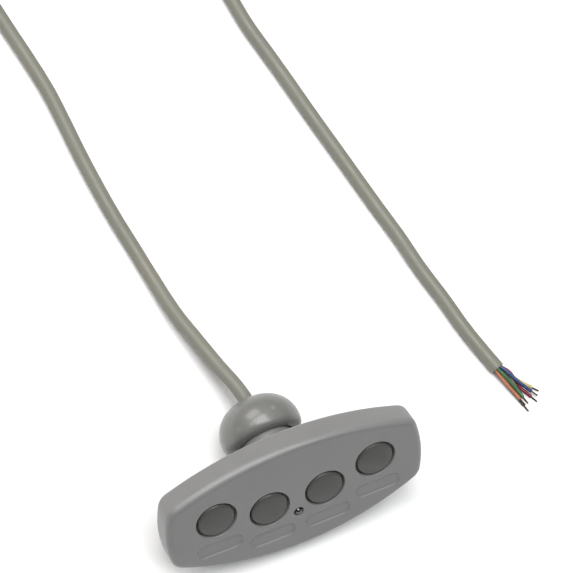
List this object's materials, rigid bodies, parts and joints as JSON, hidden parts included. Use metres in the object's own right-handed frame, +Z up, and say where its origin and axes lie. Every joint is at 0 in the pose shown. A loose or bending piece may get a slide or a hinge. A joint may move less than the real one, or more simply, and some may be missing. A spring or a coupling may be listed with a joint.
{
  "type": "pendant control station",
  "caption": "Flat lens-shaped grey pendant control station with push buttons, an indicator lamp, label recesses and a hanging knob, on a flexible cable with a stripped end.",
  "frame": {"origin": "middle of the handset's own footprint, on the surface that it rests on", "axes": "+X along the handset towards its right-hand buttons, +Y towards the side with the knob and the cable, +Z up; the handset leans back on its lower rear edge and on the knob"},
  "size_m": [0.1606, 0.3303, 0.0462],
  "materials": {
    "case_plastic": "fine moulded texture, satin",
    "button_plastic": "fine moulded texture, satin",
    "knob_plastic": "polished moulding",
    "cable_jacket": "satin, slightly waxy",
    "lamp_lens": "clear",
    "seal_rubber": "matt",
    "screw_steel": "bright zinc",
    "board_laminate": "solder mask",
    "black_plastic": "matt",
    "white_nylon": "satin",
    "pin_brass": "bright",
    "tip_copper": "tinned and dulled",
    "insulation_orange": "smooth",
    "insulation_brown": "smooth",
    "insulation_green": "smooth",
    "insulation_blue": "smooth",
    "insulation_red": "smooth",
    "insulation_yellow": "smooth"
  },
  "bodies": {
    "handset": {"front_shell": "case_plastic", "rear_cover": "case_plastic", "case_seal": "seal_rubber", "case_screws": "screw_steel", "switch_1": "black_plastic", "switch_2": "black_plastic", "switch_3": "black_plastic", "switch_4": "black_plastic", "circuit_board": "board_laminate", "board_screws": "screw_steel", "lamp": "lamp_lens", "lamp_spacer": "white_nylon", "resistors": "black_plastic", "header": "white_nylon", "header_pins": "pin_brass", "lead_plug": "white_nylon", "inner_leads": "insulation_orange", "knob": "knob_plastic", "knob_gasket": "seal_rubber", "knob_nut": "screw_steel", "knob_cap": "knob_plastic", "grommet": "seal_rubber", "cable_tie": "white_nylon", "inner_cable": "cable_jacket", "cable_lead": "cable_jacket", "cable_coil": "cable_jacket", "coil_tie": "black_plastic", "cable_tail": "cable_jacket", "core_orange": "insulation_orange", "core_brown": "insulation_brown", "core_green": "insulation_green", "core_blue": "insulation_blue", "core_red": "insulation_red", "core_yellow": "insulation_yellow", "core_tips": "tip_copper"},
    "key_1": {"button_1": "button_plastic", "plunger_1": "black_plastic"},
    "key_2": {"button_2": "button_plastic", "plunger_2": "black_plastic"},
    "key_3": {"button_3": "button_plastic", "plunger_3": "black_plastic"},
    "key_4": {"button_4": "button_plastic", "plunger_4": "black_plastic"}
  },
  "joints": [
    {"name": "press_1", "type": "slide", "parent": "handset", "child": "key_1", "axis": [0, 0.8282, -0.5605], "range_m": [0, 0.0008], "stiffness_N_per_m": 1500, "springref_m": -0.0005},
    {"name": "press_2", "type": "slide", "parent": "handset", "child": "key_2", "axis": [0, 0.8282, -0.5605], "range_m": [0, 0.0008], "stiffness_N_per_m": 1500, "springref_m": -0.0005},
    {"name": "press_3", "type": "slide", "parent": "handset", "child": "key_3", "axis": [0, 0.8282, -0.5605], "range_m": [0, 0.0008], "stiffness_N_per_m": 1500, "springref_m": -0.0005},
    {"name": "press_4", "type": "slide", "parent": "handset", "child": "key_4", "axis": [0, 0.8282, -0.5605], "range_m": [0, 0.0008], "stiffness_N_per_m": 1500, "springref_m": -0.0005}
  ]
}
